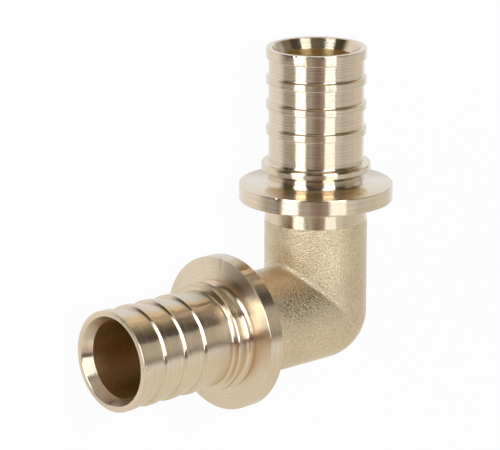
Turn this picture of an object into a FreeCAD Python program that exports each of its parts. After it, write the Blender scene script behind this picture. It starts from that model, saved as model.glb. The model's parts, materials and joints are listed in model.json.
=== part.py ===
import FreeCAD, Part
import math
import os
import Sketcher
from FreeCAD import Rotation, Vector

# A pressed-sleeve pipe elbow, forged and turned in brass as one piece, in millimetres.
#
# Two equal legs leave the crossing of their axes along +X and +Y. Each leg carries, from the
# crossing outwards: the forged skin, a turned neck, a flange that stops the sleeve, a groove,
# a collar and a barbed spigot for the pipe. Both legs are drilled through to the corner.
# The small hollows that the round nose of a turning tool leaves are drawn as straight slopes.
# The piece lies on the rims of its two flanges, so both axes are level. Its origin is the
# middle of its footprint, on the surface that it lies on.

# The driving dimensions: name, millimetres (or degrees, or a count), and what it measures.
SIZES = [
    ("centre_to_flange", 22.6, "crossing of the axes to the stop face of a flange"),
    ("spigot_length", 23.8, "stop face of a flange to the end of its spigot"),
    ("bore_diameter", 13.3, "drilled waterway"),
    ("countersink_width", 1.0, "wall of the bore to the rim of its mouth, seen from the end"),
    ("countersink_angle", 60.0, "full angle of the mouth at the end of a spigot"),
    ("drill_point_angle", 118.0, "full angle of the drill point at the blind end of a bore"),
    ("drill_overrun", 2.6, "full bore past the crossing of the axes"),
    ("body_wall", 2.22, "bore to the forged skin of the legs and to the ball of the heel"),
    ("valley_radius", 0.8, "hollow where the two legs meet on the inside of the bend"),
    ("neck_wall", 2.15, "bore to the turned neck behind a flange"),
    ("neck_length", 3.5, "turned neck behind a flange"),
    ("neck_slope", 0.3, "slope in the corner between the neck and the back of a flange"),
    ("flange_diameter", 26.5, "rim of a flange"),
    ("flange_thickness", 2.8, "rim of a flange"),
    ("edge_chamfer", 0.15, "broken edges of the flanges and spigots"),
    ("groove_wall", 1.55, "bore to the floor of the groove in front of a flange"),
    ("groove_length", 2.6, "stop face of a flange to the back of the collar"),
    ("groove_foot_slope", 0.7, "slope in the corner between the groove and a stop face"),
    ("groove_head_slope", 0.47, "slope in the corner between the groove and the collar"),
    ("spigot_wall", 1.53, "bore to the root of the spigot, between its barbs"),
    ("root_slope", 0.15, "slope in the corner in front of a barb or a collar"),
    ("collar_height", 1.24, "land of the collar above the root of the spigot"),
    ("collar_length", 1.1, "land and bevel of the collar"),
    ("barb_height", 0.42, "barbs and tip land above the root of the spigot"),
    ("barb_length", 1.3, "wall to back step of a barb"),
    ("barb_pitch", 4.4, "back step of a barb to that of the next"),
    ("barb_count", 3, "barbs behind the tip land"),
    ("tip_to_barb", 6.1, "end of a spigot to the back step of its first barb"),
    ("tip_land_length", 1.75, "end of a spigot to the step behind its tip"),
    ("bevel_length", 0.25, "bevel on the front edge of a barb or collar, along the leg"),
    ("bevel_depth", 0.1, "bevel on the front edge of a barb or collar, towards the axis"),
    ("parting_width", 1.7, "trimmed band along the parting plane of the forging"),
    ("parting_height", 0.06, "trimmed band above the forged skin"),
    ("parting_radius", 1.2, "trimmed band round the inside of the bend"),
]

SHEET = "Sizes"
TOLERANCE = 1e-4


class Length:
    """A number together with the formula that ties it to the sheet of sizes."""

    def __init__(self, value, formula):
        self.value = value
        self.formula = formula

    def __add__(self, other):
        return Length(self.value + other.value, f"({self.formula} + {other.formula})")

    def __sub__(self, other):
        return Length(self.value - other.value, f"({self.formula} - {other.formula})")

    def __neg__(self):
        return Length(-self.value, f"(-1 * {self.formula})")

    def __mul__(self, factor):
        return Length(self.value * factor, f"({self.formula} * {factor})")

    def over_tangent_of_half(self, angle):
        """This length divided by the tangent of half the angle, both from the sheet."""
        value = self.value / math.tan(math.radians(angle.value / 2))
        return Length(value, f"({self.formula} / tan({angle.formula} / 2 * 1 deg))")


ZERO = Length(0.0, "0")


def fill_sheet(doc):
    """Writes the driving dimensions into a sheet and returns each as a Length by name."""
    sheet = doc.addObject("Spreadsheet::Sheet", SHEET)
    lengths = {}
    for row, (name, value, meaning) in enumerate(SIZES, start=1):
        sheet.set(f"A{row}", meaning)
        sheet.set(f"B{row}", str(value))
        sheet.setAlias(f"B{row}", name)
        lengths[name] = Length(float(value), f"{SHEET}.{name}")
    doc.recompute()
    return lengths


def finish(body, feature):
    """Makes a new feature the end of the body and works it out before the next one reads it."""
    body.Tip = feature
    body.Document.recompute()
    return feature


def origin_feature(body, role):
    """The plane or axis of the body's own origin that has this role."""
    return next(item for item in body.Origin.OriginFeatures if item.Role == role)


def new_sketch(body, name):
    """An empty sketch on the plane of the two axes."""
    sketch = body.newObject("Sketcher::SketchObject", name)
    sketch.AttachmentSupport = [(origin_feature(body, "XY_Plane"), "")]
    sketch.MapMode = "FlatFace"
    return sketch


def arc_between(start, end, radius, clockwise):
    """The short arc from one point to the other, and whether its own start is the first."""
    chord = end - start
    middle = (start + end) * 0.5
    height = math.sqrt(max(radius ** 2 - chord.Length ** 2 / 4, 0.0))
    side = Vector(chord.y, -chord.x, 0) if clockwise else Vector(-chord.y, chord.x, 0)
    centre = middle + side.normalize() * height
    first, last = (end, start) if clockwise else (start, end)
    angles = [math.atan2((point - centre).y, (point - centre).x) for point in (first, last)]
    if angles[1] < angles[0]:
        angles[1] += 2 * math.pi
    circle = Part.Circle(centre, Vector(0, 0, 1), radius)
    return Part.ArcOfCircle(circle, *angles), not clockwise


def tie_coordinate(sketch, geo, point, kind, length, name):
    """Dimensions one coordinate of a sketch point from the origin with the sheet's formula."""
    if length is ZERO:
        axis = -2 if kind == "DistanceX" else -1
        sketch.addConstraint(Sketcher.Constraint("PointOnObject", geo, point, axis))
        return
    index = sketch.addConstraint(Sketcher.Constraint(kind, -1, 1, geo, point, length.value))
    sketch.renameConstraint(index, name)
    sketch.setExpression(f".Constraints.{name}", length.formula)


def draw_outline(sketch, corners):
    """Draws a closed outline through corners, each (x, y) or, for an arc, (x, y, radius, turn).

    The arc leads to its corner from the one before, and turn is "cw" or "ccw".
    """
    ends = []
    count = len(corners)
    for number in range(count):
        start, corner = corners[number - 1], corners[number]
        a = Vector(start[0].value, start[1].value, 0)
        b = Vector(corner[0].value, corner[1].value, 0)
        if len(corner) == 2:
            geo = sketch.addGeometry(Part.LineSegment(a, b))
            ends.append(((geo, 1), (geo, 2)))
            continue
        radius, turn = corner[2], corner[3]
        arc, forward = arc_between(a, b, radius.value, turn == "cw")
        geo = sketch.addGeometry(arc)
        ends.append(((geo, 1), (geo, 2)) if forward else ((geo, 2), (geo, 1)))
    for number in range(count):
        leaving, arriving = ends[(number + 1) % count][0], ends[number][1]
        sketch.addConstraint(Sketcher.Constraint("Coincident", *arriving, *leaving))
    for number, corner in enumerate(corners):
        geo, point = ends[number][1]
        tie_coordinate(sketch, geo, point, "DistanceX", corner[0], f"x{number}")
        tie_coordinate(sketch, geo, point, "DistanceY", corner[1], f"y{number}")
        if len(corner) == 4:
            index = sketch.addConstraint(Sketcher.Constraint("Radius", geo, corner[2].value))
            sketch.renameConstraint(index, f"radius{number}")
            sketch.setExpression(f".Constraints.radius{number}", corner[2].formula)


def turn_profile(body, kind, name, corners):
    """Turns an outline once round the X axis, as added stock or as a cut."""
    sketch = new_sketch(body, name + "_outline")
    draw_outline(sketch, corners)
    turned = body.newObject("PartDesign::" + kind, name)
    turned.Profile = sketch
    turned.ReferenceAxis = (sketch, ["H_Axis"])
    turned.Angle = 360
    return finish(body, turned)


def step_radii(sizes):
    """The radii of the turned steps, worked out from the bore and the walls around it."""
    bore = sizes["bore_diameter"] * 0.5
    root = bore + sizes["spigot_wall"]
    return {
        "bore": bore,
        "mouth": bore + sizes["countersink_width"],
        "root": root,
        "barb": root + sizes["barb_height"],
        "collar": root + sizes["collar_height"],
        "groove": bore + sizes["groove_wall"],
        "flange": sizes["flange_diameter"] * 0.5,
        "neck": bore + sizes["neck_wall"],
        "body": bore + sizes["body_wall"],
    }


def tip_station(sizes):
    """Distance from the crossing of the axes to the end of a spigot."""
    return sizes["centre_to_flange"] + sizes["spigot_length"]


def neck_station(sizes):
    """Distance from the crossing of the axes to the end of the forged skin, where a neck starts."""
    return sizes["centre_to_flange"] - sizes["flange_thickness"] - sizes["neck_length"]


def leg_corners(sizes):
    """Half section of one leg without its barbs, from the heel to the tip, along +X."""
    radius = step_radii(sizes)
    body, neck, flange, groove = (radius[name] for name in ("body", "neck", "flange", "groove"))
    collar, root, barb = (radius[name] for name in ("collar", "root", "barb"))
    inner, foot, head = (sizes[name] for name in ("neck_slope", "groove_foot_slope", "groove_head_slope"))
    corner, bevel, drop = (sizes[name] for name in ("root_slope", "bevel_length", "bevel_depth"))
    edge = sizes["edge_chamfer"]
    neck_start = neck_station(sizes)
    front = sizes["centre_to_flange"]
    back = front - sizes["flange_thickness"]
    collar_back = front + sizes["groove_length"]
    collar_front = collar_back + sizes["collar_length"]
    tip = tip_station(sizes)
    tip_back = tip - sizes["tip_land_length"]
    return [
        (-body, ZERO),
        (ZERO, body, body, "cw"),
        (neck_start, body),
        (neck_start, neck),
        (back - inner, neck),
        (back, neck + inner),
        (back, flange - edge),
        (back + edge, flange),
        (front - edge, flange),
        (front, flange - edge),
        (front, groove + foot),
        (front + foot, groove),
        (collar_back - head, groove),
        (collar_back, groove + head),
        (collar_back, collar),
        (collar_front - bevel, collar),
        (collar_front, collar - drop),
        (collar_front, root + corner),
        (collar_front + corner, root),
        (tip_back, root),
        (tip_back, barb),
        (tip - edge, barb),
        (tip, barb - edge),
        (tip, ZERO),
    ]


def barb_corners(sizes):
    """Half section of the barb next to the tip: a bevelled wall in front, a square step behind."""
    radius = step_radii(sizes)
    root, barb = radius["root"], radius["barb"]
    corner, bevel, drop = (sizes[name] for name in ("root_slope", "bevel_length", "bevel_depth"))
    step = tip_station(sizes) - sizes["tip_to_barb"]
    wall = step + sizes["barb_length"]
    sunk = root - corner
    return [
        (step, sunk),
        (step, barb),
        (wall - bevel, barb),
        (wall, barb - drop),
        (wall, root + corner),
        (wall + corner, root),
        (wall + corner, sunk),
    ]


def bore_corners(sizes):
    """Half section of one drilled bore, from its countersunk mouth to the drill point."""
    radius = step_radii(sizes)
    bore, mouth = radius["bore"], radius["mouth"]
    tip = tip_station(sizes)
    sink = sizes["countersink_width"].over_tangent_of_half(sizes["countersink_angle"])
    point = bore.over_tangent_of_half(sizes["drill_point_angle"])
    overrun = sizes["drill_overrun"]
    return [
        (tip, ZERO),
        (tip, mouth),
        (tip - sink, bore),
        (-overrun, bore),
        (-(overrun + point), ZERO),
    ]


def parting_corners(sizes):
    """Outline of the trimmed band: the middle section of both legs and the heel, a little larger."""
    reach = step_radii(sizes)["body"] + sizes["parting_height"]
    bend = sizes["parting_radius"]
    end = neck_station(sizes)
    return [
        (end, -reach),
        (end, reach),
        (reach + bend, reach),
        (reach, reach + bend, bend, "cw"),
        (reach, end),
        (-reach, end),
        (-reach, ZERO),
        (ZERO, -reach, reach, "ccw"),
    ]


def pattern_barbs(body, barb, sizes):
    """Repeats the barb back along its spigot."""
    row = body.newObject("PartDesign::LinearPattern", "barb_row")
    row.Originals = [barb]
    row.Direction = (origin_feature(body, "X_Axis"), [""])
    row.Reversed = True
    row.Mode = "Spacing"
    row.setExpression("Offset", sizes["barb_pitch"].formula)
    row.setExpression("Occurrences", sizes["barb_count"].formula)
    return finish(body, row)


def turn_to_second_leg(body, name, originals):
    """Repeats features, or the whole body where none are given, a quarter turn on."""
    pattern = body.newObject("PartDesign::PolarPattern", name)
    if originals:
        pattern.Originals = originals
    else:
        pattern.TransformMode = "Whole shape"
    pattern.Axis = (origin_feature(body, "Z_Axis"), [""])
    pattern.Angle = 90
    pattern.Occurrences = 2
    return finish(body, pattern)


def valley_edges(shape):
    """Names of the edges that lie on the mitre plane on the inside of the bend."""
    names = []
    for number, edge in enumerate(shape.Edges, start=1):
        middle = edge.CenterOfMass
        if abs(middle.x - middle.y) < TOLERANCE and middle.x > TOLERANCE:
            names.append(f"Edge{number}")
    return names


def fillet_valley(body, legs, sizes):
    """Rounds the hollow between the two legs on the inside of the bend."""
    fillet = body.newObject("PartDesign::Fillet", "valley")
    fillet.Base = (legs, valley_edges(legs.Shape))
    fillet.setExpression("Radius", sizes["valley_radius"].formula)
    return finish(body, fillet)


def pad_parting_band(body, sizes):
    """Adds the band that trimming left along the parting plane of the forging."""
    sketch = new_sketch(body, "parting_outline")
    draw_outline(sketch, parting_corners(sizes))
    band = body.newObject("PartDesign::Pad", "parting_band")
    band.Profile = sketch
    band.SideType = "Symmetric"
    band.setExpression("Length", sizes["parting_width"].formula)
    return finish(body, band)


def check_cut(before, after):
    """Stops the build if a cut took nothing away."""
    if after.Shape.Volume > before.Shape.Volume - TOLERANCE:
        raise RuntimeError(f"{after.Name} cuts nothing")


def check(doc, bodies):
    """Stops the build if any feature failed or a body has no valid shape."""
    for item in doc.Objects:
        if "Invalid" in item.State or "Error" in item.State:
            raise RuntimeError(f"{item.Name} failed: {item.State}")
    for body in bodies:
        if body.Shape.isNull() or not body.Shape.isValid() or len(body.Shape.Solids) != 1:
            raise RuntimeError(f"{body.Label} is not one valid solid")


def make_elbow(doc, sizes):
    """The whole fitting: two turned legs, the filleted valley, the parting band and the bores."""
    body = doc.addObject("PartDesign::Body", "Elbow")
    body.Label = "elbow"
    turn_profile(body, "Revolution", "leg", leg_corners(sizes))
    barb = turn_profile(body, "Revolution", "barb", barb_corners(sizes))
    pattern_barbs(body, barb, sizes)
    legs = turn_to_second_leg(body, "legs", [])
    fillet_valley(body, legs, sizes)
    blank = pad_parting_band(body, sizes)
    bore = turn_profile(body, "Groove", "bore", bore_corners(sizes))
    bores = turn_to_second_leg(body, "bores", [bore])
    check_cut(blank, bore)
    check_cut(bore, bores)
    return body


def lay_down(body, sizes):
    """Sets the body on its flange rims, with the origin in the middle of its footprint."""
    rim = step_radii(sizes)["flange"]
    middle = (rim - tip_station(sizes)) * 0.5
    body.Placement = FreeCAD.Placement(Vector(0, 0, 0), Rotation())
    body.setExpression("Placement.Base.x", middle.formula)
    body.setExpression("Placement.Base.y", middle.formula)
    body.setExpression("Placement.Base.z", rim.formula)


def main():
    doc = FreeCAD.newDocument("PipeElbow")
    sizes = fill_sheet(doc)
    elbow = make_elbow(doc, sizes)
    lay_down(elbow, sizes)
    doc.recompute()
    check(doc, [elbow])
    os.makedirs("parts", exist_ok=True)
    elbow.Shape.exportStep(f"parts/{elbow.Label}.step")
    box = elbow.Shape.BoundBox
    extents = f"{box.XLength:.2f} x {box.YLength:.2f} x {box.ZLength:.2f} mm"
    print(f"{elbow.Label}: {elbow.Shape.Volume:.1f} mm3, {extents}")


main()
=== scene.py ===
import json
import math

import bmesh
import bpy
import numpy as np
from bpy.props import FloatProperty, FloatVectorProperty, IntProperty, PointerProperty
from mathutils import Matrix, Vector


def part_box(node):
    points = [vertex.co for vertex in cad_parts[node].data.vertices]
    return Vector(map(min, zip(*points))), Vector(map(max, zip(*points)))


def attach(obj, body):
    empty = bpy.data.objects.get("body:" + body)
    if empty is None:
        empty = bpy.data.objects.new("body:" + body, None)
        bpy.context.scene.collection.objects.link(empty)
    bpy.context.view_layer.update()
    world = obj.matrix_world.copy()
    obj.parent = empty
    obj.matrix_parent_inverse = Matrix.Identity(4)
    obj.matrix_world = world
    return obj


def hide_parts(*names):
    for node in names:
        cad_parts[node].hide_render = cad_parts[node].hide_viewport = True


bl_info = {
    "name": "Brass sleeve elbow",
    "version": (1, 0, 0),
    "blender": (4, 5, 0),
    "location": "3D View > Sidebar > Elbow",
    "description": "Forged and turned brass pipe elbow with two barbed spigots, and a studio for it",
    "category": "Object",
}

MM = 0.001

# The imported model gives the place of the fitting, the sizes of its mounts and its outer box.
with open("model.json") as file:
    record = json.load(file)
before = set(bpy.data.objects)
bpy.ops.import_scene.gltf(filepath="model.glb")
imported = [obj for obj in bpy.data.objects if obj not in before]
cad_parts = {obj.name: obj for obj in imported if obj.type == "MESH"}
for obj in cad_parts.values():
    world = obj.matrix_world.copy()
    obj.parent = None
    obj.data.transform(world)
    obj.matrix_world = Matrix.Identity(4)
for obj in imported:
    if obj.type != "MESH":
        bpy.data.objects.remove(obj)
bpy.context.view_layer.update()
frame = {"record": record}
LOW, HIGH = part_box("elbow")
MOUNTS = {mount["name"]: mount for mount in frame["record"]["mounts"]}
RIM_RADIUS = (HIGH.z - LOW.z) / 2
CROSSING = Vector((LOW.x + RIM_RADIUS, LOW.y + RIM_RADIUS, LOW.z + RIM_RADIUS))
TIP = HIGH.x - CROSSING.x
FLANGE_FRONT = MOUNTS["sleeve_stop_x"]["pos_m"][0] - CROSSING.x
BORE_RADIUS = MOUNTS["bore_x"]["dims"]["r_mm"] * MM
BARB_RADIUS = MOUNTS["spigot_x"]["dims"]["r_mm"] * MM


def length(label, millimetres, description):
    """A length property, with its default given in millimetres."""
    return FloatProperty(
        name=label, description=description, default=millimetres * MM, min=0.0, unit="LENGTH", precision=5)


def colour(label, default, description):
    """A colour property."""
    return FloatVectorProperty(
        name=label, description=description, default=default, subtype="COLOR", size=3, min=0.0, max=1.0)


def share(label, default, description):
    """A plain factor from nothing to one."""
    return FloatProperty(name=label, description=description, default=default, min=0.0, max=1.0)


class ElbowShape(bpy.types.PropertyGroup):
    """Sizes of the fitting that its mounts do not state."""

    skin_radius: length("Skin radius", 8.87, "Forged skin of the legs and ball of the heel")
    valley_radius: length("Valley radius", 1.25, "Hollow between the two legs on the inside of the bend")
    neck_radius: length("Neck radius", 8.8, "Turned neck behind a flange")
    neck_length: length("Neck length", 3.5, "Turned neck behind a flange")
    flange_thickness: length("Flange thickness", 2.8, "Rim of a flange")
    groove_radius: length("Groove radius", 8.2, "Floor of the groove in front of a flange")
    groove_length: length("Groove length", 2.6, "Stop face of a flange to the back of the collar")
    foot_rounding: length("Groove foot", 1.2, "Fillet between the groove and the stop face")
    head_rounding: length("Groove head", 0.8, "Fillet between the groove and the collar")
    collar_radius: length("Collar radius", 9.42, "Land of the collar")
    collar_length: length("Collar length", 1.1, "Land and bevel of the collar")
    root_radius: length("Root radius", 8.18, "Spigot between its barbs")
    barb_length: length("Barb length", 1.3, "Wall to back step of a barb")
    barb_pitch: length("Barb pitch", 4.4, "Back step of a barb to that of the next")
    barb_count: IntProperty(name="Barbs", description="Barbs behind the tip land", default=3, min=1)
    tip_to_barb: length("Tip to barb", 6.1, "End of a spigot to the back step of its first barb")
    tip_land: length("Tip land", 1.75, "End of a spigot to the step behind its tip")
    mouth_width: length("Mouth width", 1.0, "Wall of the bore to the rim of its mouth, seen from the end")
    drill_overrun: length("Drill overrun", 2.6, "Full bore past the crossing of the axes")
    band_half_width: length("Band half width", 0.55, "Trimmed band on each side of the parting plane")
    band_shoulder: length("Band shoulder", 0.25, "Slope on each edge of the trimmed band")
    band_height: length("Band height", 0.03, "Trimmed band above the forged skin")


class ElbowFinish(bpy.types.PropertyGroup):
    """Colours and roughness of the brass."""

    turned_colour: colour("Turned", (0.83, 0.70, 0.53), "Freshly turned brass")
    forged_colour: colour("Forged", (0.93, 0.765, 0.53), "Blasted skin of the forging")
    bore_colour: colour("Bore", (0.92, 0.65, 0.31), "Drilled wall, browner than the outside")
    turned_roughness: share("Turned roughness", 0.205, "Blur of the turned steps along the leg")
    faced_roughness: share("Faced roughness", 0.22, "Blur of the flange faces outwards from the leg")
    forged_roughness: share("Forged roughness", 0.35, "Blur of the blasted skin")
    bore_roughness: share("Bore roughness", 0.32, "Blur of the drilled wall along the leg")


class ElbowStudio(bpy.types.PropertyGroup):
    """Camera, floor and lamps."""

    camera_distance: length("Camera distance", 542.95, "Aim point to the camera")
    camera_azimuth: FloatProperty(
        name="Camera azimuth", description="Turn about the vertical, nought looks along +Y",
        default=math.radians(158.03), subtype="ANGLE")
    camera_elevation: FloatProperty(
        name="Camera elevation", description="Height of the camera above the horizon",
        default=math.radians(45.545), subtype="ANGLE")
    aim_x: length("Aim along X", 17.70, "Aim point along the X leg, from the crossing of the axes")
    aim_y: length("Aim along Y", 15.35, "Aim point along the Y leg, from the crossing of the axes")
    focal_length: FloatProperty(
        name="Focal length", description="Lens on a sensor 36 mm wide", default=230.37, unit="CAMERA")
    floor_colour: colour("Floor", (0.86, 0.86, 0.85), "Plain pale floor")


# Shape

TURNS = 240  # steps round a leg, a multiple of four so that the sides of the mitre fall on steps
FINE = 0.12 * MM  # a rounding under this size gets fewer steps
REST = 0.06 * MM  # how far from its ends a long straight of the outline is held flat
MERGE = 0.002 * MM  # points closer than this are one
FACE_WIDTH = 0.9 * MM  # a flat end wider than this was crossed by a facing tool
SINK_SLOPE = math.tan(math.radians(30))  # countersink of 60 degrees
POINT_SLOPE = math.tan(math.radians(59))  # drill point of 118 degrees
CREASE = math.radians(35)  # a sharper edge than this stays crisp in the shading


def rounded_outline(corners):
    """Outline through corners (station, radius, rounding), with each corner turned into an arc.

    The arc is tangent to both sides of its corner: it starts and ends rounding * tan(turn / 2)
    from the corner, and its points are spaced evenly in angle about its centre. Small
    roundings keep every third point of the arc, and a rounding of nought keeps the corner.
    """
    data = np.array(corners, float)
    point, rounding = data[:, :2], data[:, 2]
    back = np.roll(point, 1, 0) - point
    ahead = np.roll(point, -1, 0) - point
    back /= np.linalg.norm(back, axis=1, keepdims=True)
    ahead /= np.linalg.norm(ahead, axis=1, keepdims=True)
    opening = np.arccos(np.clip((back * ahead).sum(1), -1, 1))
    middle = back + ahead
    middle /= np.maximum(np.linalg.norm(middle, axis=1, keepdims=True), 1e-9)
    centre = point + middle * (rounding / np.sin(opening / 2))[:, None]
    start = point + back * (rounding / np.tan(opening / 2))[:, None] - centre
    sweep = (math.pi - opening) * np.sign(back[:, 1] * ahead[:, 0] - back[:, 0] * ahead[:, 1])
    steps = np.linspace(0, 1, 7)
    angle = sweep[:, None] * steps
    arc = np.stack([
        start[:, :1] * np.cos(angle) - start[:, 1:] * np.sin(angle),
        start[:, :1] * np.sin(angle) + start[:, 1:] * np.cos(angle)], -1) + centre[:, None]
    keep = np.zeros(angle.shape, bool)
    keep[:, 0] = True
    keep[rounding > 0, ::3] = True
    keep[rounding > FINE] = True
    arc[rounding == 0] = point[rounding == 0][:, None]
    return arc[keep]


def held_flat(outline):
    """The outline with a point just inside both ends of each long straight.

    Shading blends normals along a face, so without these points a rounding would tint the
    whole straight beside it.
    """
    step = np.diff(outline, axis=0)
    size = np.linalg.norm(step, axis=1)
    long = size > 5 * REST
    inward = step[long] / size[long, None] * REST
    place = np.flatnonzero(long) + 1
    points = np.insert(outline, np.repeat(place, 2), 0, axis=0)
    slots = np.repeat(place, 2) + np.arange(2 * len(place))
    points[slots[::2]] = outline[:-1][long] + inward
    points[slots[1::2]] = outline[1:][long] - inward
    return points


def with_rows(outline, stations):
    """The outline with a further point at each station, so that a dent beside it has its own rows."""
    radius = np.interp(stations, outline[:, 0], outline[:, 1])
    slots = np.searchsorted(outline[:, 0], stations)
    return np.insert(outline, slots, np.stack([stations, radius], -1), axis=0)


def leg_outline(shape):
    """Stations and radii of one turned leg, from the end of the forged skin out to its tip.

    Each corner also has the radius of its rounding. Further points stand on both sides of the
    edges that carry dents.
    """
    back = FLANGE_FRONT - shape.flange_thickness
    skin_end = back - shape.neck_length
    collar_back = FLANGE_FRONT + shape.groove_length
    collar_front = collar_back + shape.collar_length
    first_step = TIP - shape.tip_to_barb
    lip, soft, crisp = 0.12 * MM, 0.05 * MM, 0.03 * MM  # rounded edges
    hollow, barb_foot = 0.13 * MM, 0.28 * MM  # rounded inner corners
    collar_foot, neck_foot = 0.45 * MM, 0.5 * MM
    bevel, drop, spread = 0.25 * MM, 0.1 * MM, 0.06 * MM  # slopes at the fronts of barbs and collar
    corners = [
        (skin_end, shape.skin_radius, 0.0),
        (skin_end + crisp, shape.neck_radius, 0.0),
        (back, shape.neck_radius, neck_foot),
        (back, RIM_RADIUS, lip),
        (FLANGE_FRONT, RIM_RADIUS, lip),
        (FLANGE_FRONT, shape.groove_radius, shape.foot_rounding),
        (collar_back, shape.groove_radius, shape.head_rounding),
        (collar_back, shape.collar_radius, soft),
        (collar_front - bevel, shape.collar_radius, crisp),
        (collar_front, shape.collar_radius - drop, crisp),
        (collar_front, shape.root_radius, collar_foot),
    ]
    for number in reversed(range(shape.barb_count)):
        step = first_step - number * shape.barb_pitch
        wall = step + shape.barb_length
        corners += [
            (step, shape.root_radius, hollow),
            (step, BARB_RADIUS, soft),
            (wall - bevel + spread, BARB_RADIUS, crisp),
            (wall + spread, shape.root_radius, barb_foot),
        ]
    corners += [
        (TIP - shape.tip_land, shape.root_radius, hollow),
        (TIP - shape.tip_land, BARB_RADIUS, soft),
        (TIP, BARB_RADIUS, lip),
        (TIP, 0.0, 0.0),
    ]
    beside = 0.4 * MM
    stations = [
        TIP - shape.tip_land + beside, TIP - beside, FLANGE_FRONT - 2 * beside, FLANGE_FRONT - beside]
    return with_rows(held_flat(rounded_outline(corners)), np.sort(stations))


def nick_places(shape):
    """The small dents that handling left on the edges of each leg, upright leg first.

    Each is (station, radius, turn round the leg in degrees, depth and reach in millimetres).
    """
    land_back, barb_back = TIP - shape.tip_land, TIP - shape.tip_to_barb
    upright = [
        (TIP, BARB_RADIUS, 11.5, 0.10, 0.28), (TIP, BARB_RADIUS, 16.5, 0.08, 0.25),
        (TIP, BARB_RADIUS, 21.5, 0.08, 0.22), (TIP, BARB_RADIUS, 51.5, 0.07, 0.22),
        (land_back, BARB_RADIUS, 24.5, 0.08, 0.22), (land_back, BARB_RADIUS, 32.5, 0.07, 0.22),
        (barb_back, BARB_RADIUS, 62.0, 0.07, 0.22), (FLANGE_FRONT, RIM_RADIUS, 17.5, 0.10, 0.35)]
    low = [
        (TIP, BARB_RADIUS, 24.4, 0.12, 0.30), (TIP, BARB_RADIUS, 85.4, 0.10, 0.28),
        (FLANGE_FRONT, RIM_RADIUS, -16.6, 0.12, 0.38), (FLANGE_FRONT, RIM_RADIUS, 4.4, 0.10, 0.35),
        (FLANGE_FRONT - 0.8 * MM, RIM_RADIUS, 112.0, 0.08, 0.35)]
    units = np.array([1, 1, math.radians(1), MM, MM])
    return np.array(upright) * units, np.array(low) * units


def dents(outline, angles, nicks):
    """How far each point of a turned surface is pushed in.

    Every nick adds its depth times exp(-(distance / reach) squared), with the distance taken
    along the station, the radius and the arc.
    """
    station, radius = outline[:, :1], outline[:, 1:]
    total = 0 * station * angles
    for place, edge, turn, depth, reach in nicks:
        arc = edge * ((angles - turn + math.pi) % (2 * math.pi) - math.pi)
        squared = (station - place) ** 2 + (radius - edge) ** 2 + arc ** 2
        total = total + depth * np.exp(-squared / reach ** 2)
    return total


def drill_outline(shape):
    """Stations and radii of one drill: countersink, full bore and point, longer than the leg."""
    mouth = BORE_RADIUS + shape.mouth_width
    point = BORE_RADIUS / POINT_SLOPE
    clear, lip, soft = 1.0 * MM, 0.06 * MM, 0.04 * MM
    corners = [
        (TIP + clear, 0.0, 0.0),
        (TIP + clear, mouth + lip, 0.0),
        (TIP, mouth + lip, 0.0),
        (TIP - lip, mouth - lip / 2, 0.0),
        (TIP - shape.mouth_width / SINK_SLOPE, BORE_RADIUS, soft),
        (-shape.drill_overrun, BORE_RADIUS, 0.0),
        (-shape.drill_overrun - point, 0.0, 0.0),
    ]
    return held_flat(rounded_outline(corners))


def turned(outline, angles, depth=0.0):
    """Carries an outline round the X axis: (station, radius cos a, radius sin a) for each angle a.

    Depth, one number or one for every point, is taken off the radius.
    """
    station, radius = outline[:, :1], outline[:, 1:] - depth
    return np.stack([station + 0 * angles, radius * np.cos(angles), radius * np.sin(angles)], -1)


def forged_skin(shape, angles, rows=6):
    """Half the forged skin: the round leg along X, from the hollow or the heel to the neck.

    On the inside of the bend the leg starts where the rolling ball of the hollow touches it, at
    (skin + valley) cos a along X. On the outside it starts level with the crossing.
    """
    end = FLANGE_FRONT - shape.flange_thickness - shape.neck_length
    start = (shape.skin_radius + shape.valley_radius) * np.maximum(np.cos(angles), 0)
    station = start + (end - start) * np.linspace(0, 1, rows)[:, None]
    return np.stack([
        station,
        shape.skin_radius * np.cos(angles) + 0 * station,
        shape.skin_radius * np.sin(angles) + 0 * station], -1)


def valley(shape, angles, rows=8):
    """The hollow on the inside of the bend, as left by a ball that rolls along both legs.

    The ball's centre runs at (reach cos a, reach cos a, reach sin a), with reach the sum of
    both radii. Each row is the ball's arc from the normal of one leg to the normal of the other.
    """
    reach = shape.skin_radius + shape.valley_radius
    zero = 0 * angles
    first = np.stack([zero, np.cos(angles), np.sin(angles)], -1)
    second = np.stack([np.cos(angles), zero, np.sin(angles)], -1)
    centre = np.stack([np.cos(angles), np.cos(angles), np.sin(angles)], -1) * reach
    between = np.arccos(np.clip((first * second).sum(-1), -1, 1))[:, None]
    safe = np.maximum(np.sin(between), 1e-9)
    part = np.linspace(0, 1, rows)[:, None, None]
    direction = (first * np.sin((1 - part) * between) + second * np.sin(part * between)) / safe
    direction = np.where(between > 1e-6, direction, first)
    return centre - direction * shape.valley_radius


def heel(shape, angles, rows=49):
    """The ball of the heel between both legs: the back half circle of a leg, turned a quarter."""
    turn = np.linspace(0, math.pi / 2, rows)[:, None]
    reach = shape.skin_radius * np.abs(np.cos(angles))
    return np.stack([
        -reach * np.sin(turn), -reach * np.cos(turn),
        shape.skin_radius * np.sin(angles) + 0 * turn], -1)


def band_outline(shape):
    """Corners of the trimmed band in the plane of both legs, outside the skin all the way round."""
    reach = shape.skin_radius + shape.band_height
    end = FLANGE_FRONT - shape.flange_thickness - shape.neck_length
    quarter = np.linspace(math.pi, 1.5 * math.pi, 33)[:, None]
    heel_arc = reach * np.hstack([np.cos(quarter), np.sin(quarter)])
    corners = [
        (end, -reach, 0.0), (end, reach, 0.0), (reach, reach, shape.valley_radius - shape.band_height),
        (reach, end, 0.0), (-reach, end, 0.0), (-reach, 0.0, 0.0)]
    return np.vstack([rounded_outline(corners), heel_arc[1:]])


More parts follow.
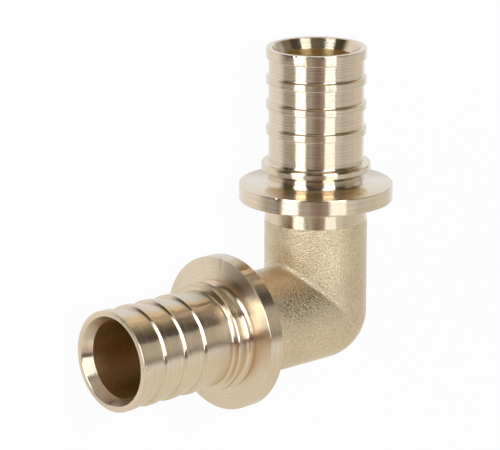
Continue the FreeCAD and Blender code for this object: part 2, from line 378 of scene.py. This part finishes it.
def grid_faces(rows, columns, closed):
    """Corner numbers of the four-sided faces of a grid, whose columns may close in a ring."""
    number = np.arange(rows * columns).reshape(rows, columns)
    ahead = np.roll(number, -1, 1) if closed else number[:, 1:]
    here = number if closed else number[:, :-1]
    faces = np.stack([here[:-1], ahead[:-1], ahead[1:], here[1:]], -1)
    return faces.reshape(-1, 4)


class Surfaces:
    """Grids of points gathered into one mesh, each with its finish and its pattern coordinates."""

    def __init__(self):
        self.points, self.faces, self.slots, self.maps, self.count = [], [], [], [], 0

    def add(self, grid, slot, closed=True, flip=False, pattern=None):
        """Adds a grid. slot is one finish, or one for each row of faces.

        pattern is (along, round) for every point, in metres and turns.
        """
        rows, columns = grid.shape[:2]
        faces = grid_faces(rows, columns, closed)
        if flip:
            faces = faces[:, ::-1]
        if pattern is None:
            pattern = np.zeros((rows, columns, 2))
        self.points.append(grid.reshape(-1, 3))
        self.faces.append(faces + self.count)
        strips = (rows - 1, len(faces) // (rows - 1))
        self.slots.append(np.broadcast_to(np.reshape(slot, (-1, 1)), strips).ravel())
        self.maps.append(pattern.reshape(-1, 2))
        self.count += rows * columns

    def build(self, name, materials):
        """The gathered mesh as an object, moved to the crossing of the axes, with seams joined."""
        points = np.vstack(self.points) + np.array(CROSSING)
        faces = np.vstack(self.faces)
        mesh = bpy.data.meshes.new(name)
        mesh.from_pydata(points, [], faces)
        for material in materials:
            mesh.materials.append(material)
        mesh.polygons.foreach_set("material_index", np.concatenate(self.slots).astype(np.int32))
        layer = mesh.uv_layers.new(name="lathe")
        layer.data.foreach_set("uv", np.vstack(self.maps)[faces.ravel()].astype(np.float32).ravel())
        sculpt = bmesh.new()
        sculpt.from_mesh(mesh)
        bmesh.ops.remove_doubles(sculpt, verts=sculpt.verts, dist=MERGE)
        bmesh.ops.recalc_face_normals(sculpt, faces=sculpt.faces)
        sculpt.to_mesh(mesh)
        sculpt.free()
        item = bpy.data.objects.new(name, mesh)
        bpy.context.scene.collection.objects.link(item)
        return item


def lathe_map(outline, angles):
    """Pattern coordinates of a turned surface: length along its outline, and share of a turn."""
    step = np.linalg.norm(np.diff(outline, axis=0), axis=1)
    along = np.concatenate([[0], np.cumsum(step)])[:, None]
    return np.stack([along + 0 * angles, angles / (2 * math.pi) + 0 * along], -1)


def swapped(grid):
    """The mirror image of a grid in the plane between the two legs."""
    return grid[..., [1, 0, 2]]


TURNED, FORGED, DRILLED, FACED = range(4)


def turning(outline):
    """The finish of each straight of an outline: faced where a tool crossed a wide flat end."""
    along, across = np.abs(np.diff(outline, axis=0)).T
    return np.where((across > 3 * along) & (across > FACE_WIDTH), FACED, TURNED)


def outer_surfaces(shape):
    """Everything outside the bores: both turned legs, the forged skin, the valley and the heel."""
    ring = np.arange(TURNS) * (2 * math.pi / TURNS)
    quarter = TURNS // 4
    front = np.arange(-quarter, quarter + 1) * (2 * math.pi / TURNS)
    behind = np.arange(quarter, 3 * quarter + 1) * (2 * math.pi / TURNS)
    outline = leg_outline(shape)
    pattern = lathe_map(outline, ring)
    surfaces = Surfaces()
    for flip, place, nicks in zip((False, True), (np.asarray, swapped), nick_places(shape)):
        leg = turned(outline, ring, dents(outline, ring, nicks))
        surfaces.add(place(leg), turning(outline), flip=flip, pattern=pattern)
        surfaces.add(place(forged_skin(shape, ring)), FORGED, flip=flip)
    surfaces.add(valley(shape, front), FORGED, closed=False)
    surfaces.add(heel(shape, behind), FORGED, closed=False)
    return surfaces


def drill_surfaces(shape, place, flip):
    """The closed surface of one drill."""
    ring = np.arange(TURNS) * (2 * math.pi / TURNS)
    outline = drill_outline(shape)
    cone = TIP - shape.mouth_width / SINK_SLOPE
    slots = np.where(outline[1:, 0] > cone - REST, TURNED, DRILLED)
    surfaces = Surfaces()
    surfaces.add(place(turned(outline, ring)), slots, flip=flip, pattern=lathe_map(outline, ring))
    return surfaces


def band_object(shape, materials):
    """The trimmed band as a closed plate, whose edges slope down into the skin.

    The outline is laid at four heights. The outer two are drawn in by 1.3 times its height and by
    half width squared / (2 * skin), which is how far a leg falls away over the half width.
    """
    outline = band_outline(shape)
    side = np.roll(outline, -1, 0) - np.roll(outline, 1, 0)
    side /= np.linalg.norm(side, axis=1, keepdims=True)
    outward = np.stack([side[:, 1], -side[:, 0]], -1)
    area = (outline[:, 0] * np.roll(outline[:, 1], -1) - outline[:, 1] * np.roll(outline[:, 0], -1)).sum()
    outward *= np.sign(area)
    half, shoulder = shape.band_half_width, shape.band_shoulder
    heights = np.array([-half, -half + shoulder, half - shoulder, half])
    sag = half ** 2 / (2 * shape.skin_radius)
    inset = np.array([1, 0, 0, 1]) * (1.3 * shape.band_height + sag)
    flat = outline[None] - outward[None] * inset[:, None, None]
    rows = np.concatenate([flat, heights[:, None, None] + 0 * flat[..., :1]], -1)
    surfaces = Surfaces()
    surfaces.add(rows, FORGED)
    plate = surfaces.build("band", materials)
    sculpt = bmesh.new()
    sculpt.from_mesh(plate.data)
    open_edges = [edge for edge in sculpt.edges if edge.is_boundary]
    bmesh.ops.holes_fill(sculpt, edges=open_edges)
    bmesh.ops.recalc_face_normals(sculpt, faces=sculpt.faces)
    for face in sculpt.faces:
        face.material_index = FORGED
    sculpt.to_mesh(plate.data)
    sculpt.free()
    return plate


def combine(item, tool, operation):
    """Adds a tool to the item or cuts it away, and removes the tool."""
    modifier = item.modifiers.new("tool", "BOOLEAN")
    modifier.operation = operation
    modifier.solver = "MANIFOLD"
    modifier.object = tool
    graph = bpy.context.evaluated_depsgraph_get()
    mesh = bpy.data.meshes.new_from_object(item.evaluated_get(graph))
    item.modifiers.clear()
    item.data = mesh
    bpy.data.objects.remove(tool)


def crisp_shading(item):
    """Smooth shading with crisp edges, and normals that follow the larger faces."""
    item.data.shade_smooth()
    item.data.set_sharp_from_angle(angle=CREASE)
    modifier = item.modifiers.new("face weighted normals", "WEIGHTED_NORMAL")
    modifier.keep_sharp = True
    modifier.weight = 100


# Finish

RING_SHADE = (0.2, 0.15, 0.1, 1)  # painted shade at the bottom of the deepest tool rings
PIT_SHADE = (0.12, 0.08, 0.05, 1)  # painted shade at the bottom of the pits of the blasted skin
PITS_AND_DARK_REFLECTION_PLACE = CROSSING + Vector((4.8, 10.3, 7.4)) * MM  # coarse pits with a painted dark reflection beside the low leg's flange
PITS_AND_DARK_REFLECTION_STRETCH = (1.0, 0.5, 1.0)  # twice as long along the low leg as across it
PITS_AND_DARK_REFLECTION_REACH = 4.6 * MM


class Nodes:
    """Shorthand for adding nodes to a tree and wiring them."""

    def __init__(self, tree):
        self.tree = tree

    def add(self, kind, inputs=None, **settings):
        """A node with its settings, and its inputs given as values or as sockets to link."""
        node = self.tree.nodes.new(kind)
        for name, value in settings.items():
            setattr(node, name, value)
        for name, value in (inputs or {}).items():
            socket = node.inputs[name]
            if isinstance(value, bpy.types.NodeSocket):
                self.tree.links.new(value, socket)
            else:
                socket.default_value = value
        return node

    def math(self, operation, first, second):
        """The result of one piece of arithmetic."""
        return self.add("ShaderNodeMath", {0: first, 1: second}, operation=operation).outputs[0]

    def blend(self, factor, first, second):
        """A mix of two colours, each given as a colour or as a socket."""
        return self.add("ShaderNodeMix", {0: factor, 6: first, 7: second}, data_type="RGBA").outputs[2]

    def ramp(self, value, start, end, **settings):
        """Nought where a value is at its start, one at its end, and no further."""
        inputs = {"Value": value, "From Min": start, "From Max": end}
        return self.add("ShaderNodeMapRange", inputs, **settings).outputs["Result"]

    def bump(self, height, depth):
        """The normal over a pattern of heights, of which one stands for a depth in metres."""
        node = self.add("ShaderNodeBump", {"Strength": 1.0, "Distance": depth, "Height": height})
        return node.outputs["Normal"]

    def join(self, source, target):
        """Wires one socket to another."""
        self.tree.links.new(source, target)


def empty_nodes(owner):
    """The nodes of a material or world, with nothing in them yet."""
    owner.use_nodes = True
    owner.node_tree.nodes.clear()
    return Nodes(owner.node_tree)


def new_group(name, inputs, outputs):
    """A shader node group with named sockets, given as (name, kind, default) and (name, kind)."""
    tree = bpy.data.node_groups.new(name, "ShaderNodeTree")
    for label, kind, default in inputs:
        socket = tree.interface.new_socket(label, in_out="INPUT", socket_type=kind)
        socket.default_value = default
    for label, kind in outputs:
        tree.interface.new_socket(label, in_out="OUTPUT", socket_type=kind)
    nodes = Nodes(tree)
    return nodes, nodes.add("NodeGroupInput"), nodes.add("NodeGroupOutput")


def mottle_group():
    """Cloudy shifts of colour and roughness over a piece."""
    nodes, start, end = new_group("Mottle", [
        ("Colour", "NodeSocketColor", (0.83, 0.7, 0.53, 1)),
        ("Stain", "NodeSocketColor", (0.66, 0.56, 0.42, 1)),
        ("Amount", "NodeSocketFloat", 0.2),
        ("Roughness", "NodeSocketFloat", 0.2),
        ("Spread", "NodeSocketFloat", 0.06),
    ], [("Colour", "NodeSocketColor"), ("Roughness", "NodeSocketFloat")])
    place = nodes.add("ShaderNodeTexCoord").outputs["Object"]
    cloud = nodes.add("ShaderNodeTexNoise", {
        "Vector": place, "Scale": 140.0, "Detail": 4.0, "Roughness": 0.6}).outputs["Fac"]
    amount = nodes.math("MULTIPLY", nodes.ramp(cloud, 0.35, 0.7), start.outputs["Amount"])
    nodes.join(nodes.blend(amount, start.outputs["Colour"], start.outputs["Stain"]), end.inputs["Colour"])
    shift = nodes.math("MULTIPLY", nodes.math("SUBTRACT", cloud, 0.5), start.outputs["Spread"])
    nodes.join(nodes.math("ADD", start.outputs["Roughness"], shift), end.inputs["Roughness"])
    return nodes.tree


def lathe_group():
    """Fine rings that a turning tool leaves across the outline, with painted shade making the deeper ones
    darker.

    Lean tilts the whole surface along the outline, as the long flanks of the feed marks do.
    """
    nodes, start, end = new_group("Lathe rings", [
        ("Colour", "NodeSocketColor", (0.83, 0.7, 0.53, 1)),
        ("Lean", "NodeSocketFloat", 0.0),
        ("Depth", "NodeSocketFloat", 0.2),
        ("Pitch", "NodeSocketFloat", 4200.0),
        ("Wander", "NodeSocketFloat", 0.8),
    ], [("Colour", "NodeSocketColor"), ("Height", "NodeSocketFloat")])
    unrolled = nodes.add("ShaderNodeUVMap", uv_map="lathe").outputs["UV"]
    distance = nodes.add("ShaderNodeSeparateXYZ", {"Vector": unrolled}).outputs["X"]
    place = nodes.add("ShaderNodeTexCoord").outputs["Object"]
    drift = nodes.add("ShaderNodeTexNoise", {"Vector": place, "Scale": 60.0, "Detail": 1.0})
    along = nodes.math("MULTIPLY", distance, start.outputs["Pitch"])
    wander = nodes.math("MULTIPLY", drift.outputs["Fac"], start.outputs["Wander"])
    rings = nodes.add("ShaderNodeTexNoise", {
        "W": nodes.math("ADD", along, wander), "Scale": 1.0, "Detail": 3.0, "Roughness": 0.7},
        noise_dimensions="1D").outputs["Fac"]
    flank = nodes.math("MULTIPLY", distance, start.outputs["Lean"])
    nodes.join(nodes.math("ADD", rings, flank), end.inputs["Height"])
    # painted shade: the deeper rings are mixed towards RING_SHADE
    amount = nodes.math("MULTIPLY", nodes.ramp(rings, 0.55, 0.3), start.outputs["Depth"])
    nodes.join(nodes.blend(amount, start.outputs["Colour"], RING_SHADE), end.inputs["Colour"])
    return nodes.tree


def grain_group():
    """Fine pitted grain of a blasted skin, with painted shade making the pits a little darker."""
    nodes, start, end = new_group("Blasted grain", [
        ("Colour", "NodeSocketColor", (0.93, 0.765, 0.53, 1)),
        ("Scale", "NodeSocketFloat", 4200.0),
        ("Depth", "NodeSocketFloat", 0.42),
    ], [("Colour", "NodeSocketColor"), ("Height", "NodeSocketFloat")])
    place = nodes.add("ShaderNodeTexCoord").outputs["Object"]
    grain = nodes.add("ShaderNodeTexNoise", {
        "Vector": place, "Scale": start.outputs["Scale"], "Detail": 2.0, "Roughness": 0.6}).outputs["Fac"]
    # painted shade: the low points of the grain are mixed towards PIT_SHADE
    amount = nodes.math("MULTIPLY", nodes.ramp(grain, 0.62, 0.32), start.outputs["Depth"])
    nodes.join(nodes.blend(amount, start.outputs["Colour"], PIT_SHADE), end.inputs["Colour"])
    nodes.join(grain, end.inputs["Height"])
    return nodes.tree


def patch_group():
    """A soft spot round a place: one in its middle, nought beyond its reach.

    Stretch multiplies the distance along each axis, so a small number there makes the spot longer.
    """
    nodes, start, end = new_group("Patch", [
        ("Place", "NodeSocketVector", (0.0, 0.0, 0.0)),
        ("Stretch", "NodeSocketVector", (1.0, 1.0, 1.0)),
        ("Reach", "NodeSocketFloat", 0.003),
    ], [("Mask", "NodeSocketFloat")])
    place = nodes.add("ShaderNodeTexCoord").outputs["Object"]

    def vector_math(operation, *inputs):
        """A piece of arithmetic on vectors."""
        return nodes.add("ShaderNodeVectorMath", dict(enumerate(inputs)), operation=operation)

    away = vector_math("SUBTRACT", place, start.outputs["Place"]).outputs["Vector"]
    stretched = vector_math("MULTIPLY", away, start.outputs["Stretch"]).outputs["Vector"]
    part = nodes.math("DIVIDE", vector_math("LENGTH", stretched).outputs["Value"], start.outputs["Reach"])
    nodes.join(nodes.ramp(part, 1.0, 0.15, interpolation_type="SMOOTHSTEP"), end.inputs["Mask"])
    return nodes.tree


def rgba(value, factor=1.0):
    """A colour property as the four numbers that a socket takes."""
    return (value[0] * factor, value[1] * factor, value[2] * factor, 1.0)


def shade(nodes, inputs):
    """The Principled shader of a material, wired to its output."""
    shader = nodes.add("ShaderNodeBsdfPrincipled", inputs)
    nodes.add("ShaderNodeOutputMaterial", {"Surface": shader.outputs["BSDF"]})


def lathed_brass(name, groups, mottle, rings, height, anisotropy):
    """Brass with tool rings, which blur reflections across themselves.

    Mottle and rings are values for those groups, and height is that of the rings in metres.
    """
    material = bpy.data.materials.new(name)
    nodes = empty_nodes(material)
    tone = nodes.add("ShaderNodeGroup", mottle, node_tree=groups["mottle"])
    rings = {"Colour": tone.outputs["Colour"], **rings}
    marks = nodes.add("ShaderNodeGroup", rings, node_tree=groups["lathe"])
    tangent = nodes.add("ShaderNodeTangent", direction_type="UV_MAP", uv_map="lathe")
    shade(nodes, {
        "Base Color": marks.outputs["Colour"], "Metallic": 1.0, "Roughness": tone.outputs["Roughness"],
        "Anisotropic": anisotropy, "Tangent": tangent.outputs["Tangent"],
        "Normal": nodes.bump(marks.outputs["Height"], height)})
    return material


def turned_brass(name, finish, groups, roughness, depth, lean):
    """Bright turned brass. Lean is the slope of the long flanks of the tool's feed marks."""
    height = 0.014 * MM
    mottle = {
        "Colour": rgba(finish.turned_colour), "Stain": rgba(finish.turned_colour, 0.8),
        "Amount": 0.2, "Roughness": roughness, "Spread": 0.06}
    # depth sets how much painted shade the deeper rings get
    rings = {"Pitch": 4200.0, "Wander": 0.8, "Depth": depth, "Lean": lean / height}
    return lathed_brass(name, groups, mottle, rings, height, 1.0)


def drilled_brass(finish, groups):
    """The wall of the bores: duller and browner than the outside."""
    mottle = {
        "Colour": rgba(finish.bore_colour), "Stain": rgba(finish.bore_colour, 0.7),
        "Amount": 0.3, "Roughness": finish.bore_roughness, "Spread": 0.1}
    rings = {"Pitch": 4000.0, "Wander": 0.8, "Depth": 0.35}
    return lathed_brass("drilled brass", groups, mottle, rings, 0.008 * MM, 0.8)


def forged_brass(finish, groups):
    """Satin brass with the fine grain of blasting, and one patch of coarse pits that also carries a painted
    dark reflection.
    """
    material = bpy.data.materials.new("forged brass")
    nodes = empty_nodes(material)
    tone = nodes.add("ShaderNodeGroup", {
        "Colour": rgba(finish.forged_colour), "Stain": rgba(finish.forged_colour, 0.7),
        "Amount": 0.4, "Roughness": finish.forged_roughness, "Spread": 0.15}, node_tree=groups["mottle"])
    patch = nodes.add("ShaderNodeGroup", {
        "Place": PITS_AND_DARK_REFLECTION_PLACE, "Stretch": PITS_AND_DARK_REFLECTION_STRETCH, "Reach": PITS_AND_DARK_REFLECTION_REACH},
        node_tree=groups["patch"]).outputs["Mask"]
    grain = nodes.add("ShaderNodeGroup", {
        "Colour": tone.outputs["Colour"], "Scale": 4200.0, "Depth": 0.42}, node_tree=groups["grain"])
    # the patch gives coarse pits and darkens them with painted shade, standing in for a dark reflection
    # beside the flange
    pits = nodes.add("ShaderNodeGroup", {
        "Colour": grain.outputs["Colour"], "Scale": 2500.0, "Depth": nodes.math("MULTIPLY", patch, 0.8)},
        node_tree=groups["grain"])
    coarse = nodes.math("MULTIPLY", pits.outputs["Height"], nodes.math("MULTIPLY", patch, 1.2))
    height = nodes.math("ADD", grain.outputs["Height"], coarse)
    shade(nodes, {
        "Base Color": pits.outputs["Colour"], "Metallic": 0.92, "Roughness": tone.outputs["Roughness"],
        "Normal": nodes.bump(height, 0.13 * MM)})
    return material


# Studio

FRONT_TONES = [  # sine of the height above the horizon, and the room's colour on the lens's side
    (-1.0, (0.80, 0.76, 0.69)),
    (-0.50, (0.80, 0.76, 0.69)),
    (-0.235, (0.84, 0.84, 0.84)),
    (-0.215, (0.08, 0.04, 0.03)),
    (-0.06, (0.07, 0.04, 0.03)),
    (-0.02, (0.08, 0.065, 0.055)),
    (0.87, (0.06, 0.05, 0.04)),
    (0.95, (0.30, 0.27, 0.22)),
    (1.0, (0.60, 0.57, 0.52)),
]
FAR_TONES = [  # the same behind the fitting
    (-1.0, (0.80, 0.76, 0.69)),
    (-0.50, (0.80, 0.76, 0.69)),
    (-0.18, (0.80, 0.81, 0.83)),
    (-0.10, (0.46, 0.40, 0.35)),
    (-0.04, (0.20, 0.17, 0.15)),
    (0.04, (0.05, 0.04, 0.03)),
    (0.76, (0.05, 0.04, 0.03)),
    (0.85, (0.36, 0.30, 0.22)),
    (1.0, (0.60, 0.57, 0.52)),
]
FRONT_SIDE = (28, -5, 60, 72)  # azimuth and elevation, and the angles at which it fades
PANELS = [  # pieces of the room, each one spot or the overlap of two, laid over the ones before
    ([(53, -18, 12, 17)], (0.40, 0.29, 0.25)),  # brown stand under the lens
    ([(51, -16, 4, 8)], (0.13, 0.075, 0.07)),  # its dark middle
    ([(99, -18, 5, 16)], (0.95, 0.96, 1.0)),  # white card right of the lens
    ([(-80, 5, 25, 47)], (0.92, 0.90, 0.90)),  # white wall on the left
    ([(165, 5, 10, 25)], (0.68, 0.66, 0.66)),  # grey wall behind on the right
    ([(136, 15, 14, 16.5)], (0.42, 0.36, 0.28)),  # dim ochre panel on the right
    ([(-133.5, 12, 36, 60), (-100, 5, 66, 80)], (0.90, 0.94, 1.0)),  # white backdrop
    ([(196, 47, 11, 14)], (0.95, 0.75, 0.48)),  # golden panel high behind
]
SOFT_BOXES = [  # name, azimuth, elevation, lean, width and height in metres, radiance
    ("left box", 8, 17, 5, 0.43, 0.75, 6.6),
    ("right box", 79.5, 19.5, 0, 0.45, 0.80, 4.7),
]
LAMP_COLOUR = (0.90, 0.95, 1.0)
ROOM_LIGHT = (0.2, 0.2, 0.2, 1)  # what the room gives to matt surfaces
FLOOR_HALF = 3.0  # half the width of the floor in metres
FLOOR_WHITE = 0.96  # share of plain white in what the lens sees of the floor


def studio_direction(azimuth, elevation):
    """Direction in the picture's own frame, where the upright leg is up.

    Azimuth turns from the low leg (+Y) towards the side that faces the lens (+Z), and elevation
    rises towards the upright leg (+X), both in degrees.
    """
    a, e = math.radians(azimuth), math.radians(elevation)
    return Vector((math.sin(e), math.cos(e) * math.cos(a), math.cos(e) * math.sin(a)))


def soft_box(name, azimuth, elevation, lean, width, height, radiance):
    """A rectangular lamp one metre away that faces the fitting. Lean turns it in its own plane."""
    lamp = bpy.data.lights.new(name, "AREA")
    lamp.shape = "RECTANGLE"
    lamp.size, lamp.size_y = width, height
    lamp.energy = radiance * math.pi * width * height
    lamp.color = LAMP_COLOUR
    item = bpy.data.objects.new(name, lamp)
    bpy.context.scene.collection.objects.link(item)
    away = studio_direction(azimuth, elevation)
    side = Vector((1, 0, 0)).cross(away).normalized()
    turn = Matrix((side, away.cross(side), away)).transposed().to_4x4()
    turn = turn @ Matrix.Rotation(math.radians(lean), 4, "Z")
    item.matrix_world = Matrix.Translation(CROSSING + away) @ turn
    item.visible_camera = False


def make_camera(studio):
    """The photograph's viewing angle: a long lens over the lying fitting, its X leg upright."""
    aim = CROSSING + Vector((studio.aim_x, studio.aim_y, 0))
    turn, rise = studio.camera_azimuth, studio.camera_elevation
    back = Vector((math.sin(turn) * math.cos(rise), -math.cos(turn) * math.cos(rise), math.sin(rise)))
    right = Vector((1, 0, 0)).cross(back).normalized()
    camera = bpy.data.objects.new("camera", bpy.data.cameras.new("camera"))
    bpy.context.scene.collection.objects.link(camera)
    camera.data.sensor_width = 36
    camera.data.lens = studio.focal_length
    camera.data.clip_start = 0.01
    camera.data.clip_end = 20
    axes = Matrix((right, back.cross(right), back)).transposed().to_4x4()
    camera.matrix_world = Matrix.Translation(aim + back * studio.camera_distance) @ axes
    bpy.context.scene.camera = camera


def make_floor(studio):
    """A wide pale floor, which the lens sees almost as white so that its shadow stays soft."""
    mesh = bpy.data.meshes.new("floor")
    corners = np.array([[-1, -1, 0], [1, -1, 0], [1, 1, 0], [-1, 1, 0]]) * FLOOR_HALF + [0, 0, LOW.z]
    mesh.from_pydata(corners.tolist(), [], [(0, 1, 2, 3)])
    item = bpy.data.objects.new("floor", mesh)
    bpy.context.scene.collection.objects.link(item)
    material = bpy.data.materials.new("pale floor")
    nodes = empty_nodes(material)
    matt = nodes.add("ShaderNodeBsdfDiffuse", {"Color": rgba(studio.floor_colour)})
    white = nodes.add("ShaderNodeEmission", {"Color": (1, 1, 1, 1), "Strength": 1.0})
    path = nodes.add("ShaderNodeLightPath")
    amount = nodes.math("MULTIPLY", path.outputs["Is Camera Ray"], FLOOR_WHITE)
    mix = nodes.add("ShaderNodeMixShader", {0: amount, 1: matt.outputs[0], 2: white.outputs[0]})
    nodes.add("ShaderNodeOutputMaterial", {"Surface": mix.outputs[0]})
    mesh.materials.append(material)
    item.visible_glossy = False


def make_world():
    """The room: white to the lens, an even pale grey to matt surfaces.

    To reflections it is a pale table below the horizon, a dark ceiling above it and a white
    backdrop behind the fitting, with panels and walls between them. Up is along the upright
    leg, as the picture shows it.
    """
    world = bpy.data.worlds.new("room")
    bpy.context.scene.world = world
    nodes = empty_nodes(world)
    way = nodes.add("ShaderNodeTexCoord").outputs["Generated"]
    height = nodes.add("ShaderNodeSeparateXYZ", {"Vector": way}).outputs["X"]
    share_up = nodes.ramp(height, -1.0, 1.0)

    def by_height(tones):
        """Colours that change with the height above the horizon."""
        ramp = nodes.add("ShaderNodeValToRGB", {"Fac": share_up})
        stops = ramp.color_ramp.elements
        for place, _ in tones[1:-1]:
            stops.new((place + 1) / 2)
        for stop, (place, tone) in zip(stops, tones):
            stop.position = (place + 1) / 2
            stop.color = (*tone, 1)
        return ramp.outputs["Color"]

    def spot(azimuth, elevation, inner, outer):
        """One within the inner angle of a direction, nought beyond the outer angle."""
        towards = studio_direction(azimuth, elevation)
        along = nodes.add("ShaderNodeVectorMath", {0: way, 1: towards}, operation="DOT_PRODUCT")
        edges = math.cos(math.radians(outer)), math.cos(math.radians(inner))
        return nodes.ramp(along.outputs["Value"], *edges, interpolation_type="SMOOTHSTEP")

    room = nodes.blend(spot(*FRONT_SIDE), by_height(FAR_TONES), by_height(FRONT_TONES))
    for spots, tone in PANELS:
        panel = spot(*spots[0])
        for other in spots[1:]:
            panel = nodes.math("MULTIPLY", panel, spot(*other))
        room = nodes.blend(panel, room, (*tone, 1))
    path = nodes.add("ShaderNodeLightPath")
    seen = nodes.blend(path.outputs["Is Glossy Ray"], ROOM_LIGHT, room)
    seen = nodes.blend(path.outputs["Is Camera Ray"], seen, (1, 1, 1, 1))
    light = nodes.add("ShaderNodeBackground", {"Color": seen, "Strength": 1.0})
    nodes.add("ShaderNodeOutputWorld", {"Surface": light.outputs[0]})


class ELBOW_OT_stage(bpy.types.Operator):
    """Make the camera, the floor and the lamps"""

    bl_idname = "elbow.stage"
    bl_label = "Stage"

    def execute(self, context):
        studio = context.scene.elbow_studio
        make_camera(studio)
        make_floor(studio)
        make_world()
        for box in SOFT_BOXES:
            soft_box(*box)
        context.scene.view_settings.view_transform = "Standard"
        return {"FINISHED"}


class ELBOW_OT_fitting(bpy.types.Operator):
    """Make the brass elbow"""

    bl_idname = "elbow.fitting"
    bl_label = "Elbow"

    def execute(self, context):
        shape, finish = context.scene.elbow_shape, context.scene.elbow_finish
        groups = {
            "mottle": mottle_group(), "lathe": lathe_group(), "grain": grain_group(), "patch": patch_group()}
        materials = [
            turned_brass("turned brass", finish, groups, finish.turned_roughness, depth=0.2, lean=0.0),
            forged_brass(finish, groups), drilled_brass(finish, groups),
            turned_brass("faced brass", finish, groups, finish.faced_roughness, depth=0.08, lean=0.19)]
        elbow = outer_surfaces(shape).build("elbow_body", materials)
        combine(elbow, band_object(shape, materials), "UNION")
        for place, flip in ((np.asarray, False), (swapped, True)):
            combine(elbow, drill_surfaces(shape, place, flip).build("drill", materials), "DIFFERENCE")
        crisp_shading(elbow)
        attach(elbow, "root")
        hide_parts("elbow")
        return {"FINISHED"}


class ELBOW_PT_panel(bpy.types.Panel):
    """The sidebar panel of the fitting"""

    bl_idname = "ELBOW_PT_panel"
    bl_label = "Brass sleeve elbow"
    bl_space_type = "VIEW_3D"
    bl_region_type = "UI"
    bl_category = "Elbow"

    def draw(self, context):
        for group in (context.scene.elbow_shape, context.scene.elbow_finish, context.scene.elbow_studio):
            box = self.layout.box()
            for name in group.__annotations__:
                box.prop(group, name)
        self.layout.operator(ELBOW_OT_stage.bl_idname)
        self.layout.operator(ELBOW_OT_fitting.bl_idname)


CLASSES = (ElbowShape, ElbowFinish, ElbowStudio, ELBOW_OT_stage, ELBOW_OT_fitting, ELBOW_PT_panel)


def register():
    for item in CLASSES:
        bpy.utils.register_class(item)
    bpy.types.Scene.elbow_shape = PointerProperty(type=ElbowShape)
    bpy.types.Scene.elbow_finish = PointerProperty(type=ElbowFinish)
    bpy.types.Scene.elbow_studio = PointerProperty(type=ElbowStudio)


def unregister():
    del bpy.types.Scene.elbow_studio
    del bpy.types.Scene.elbow_finish
    del bpy.types.Scene.elbow_shape
    for item in reversed(CLASSES):
        bpy.utils.unregister_class(item)


def main():
    register()
    bpy.ops.elbow.stage()
    bpy.ops.elbow.fitting()


if __name__ == "__main__":
    main()
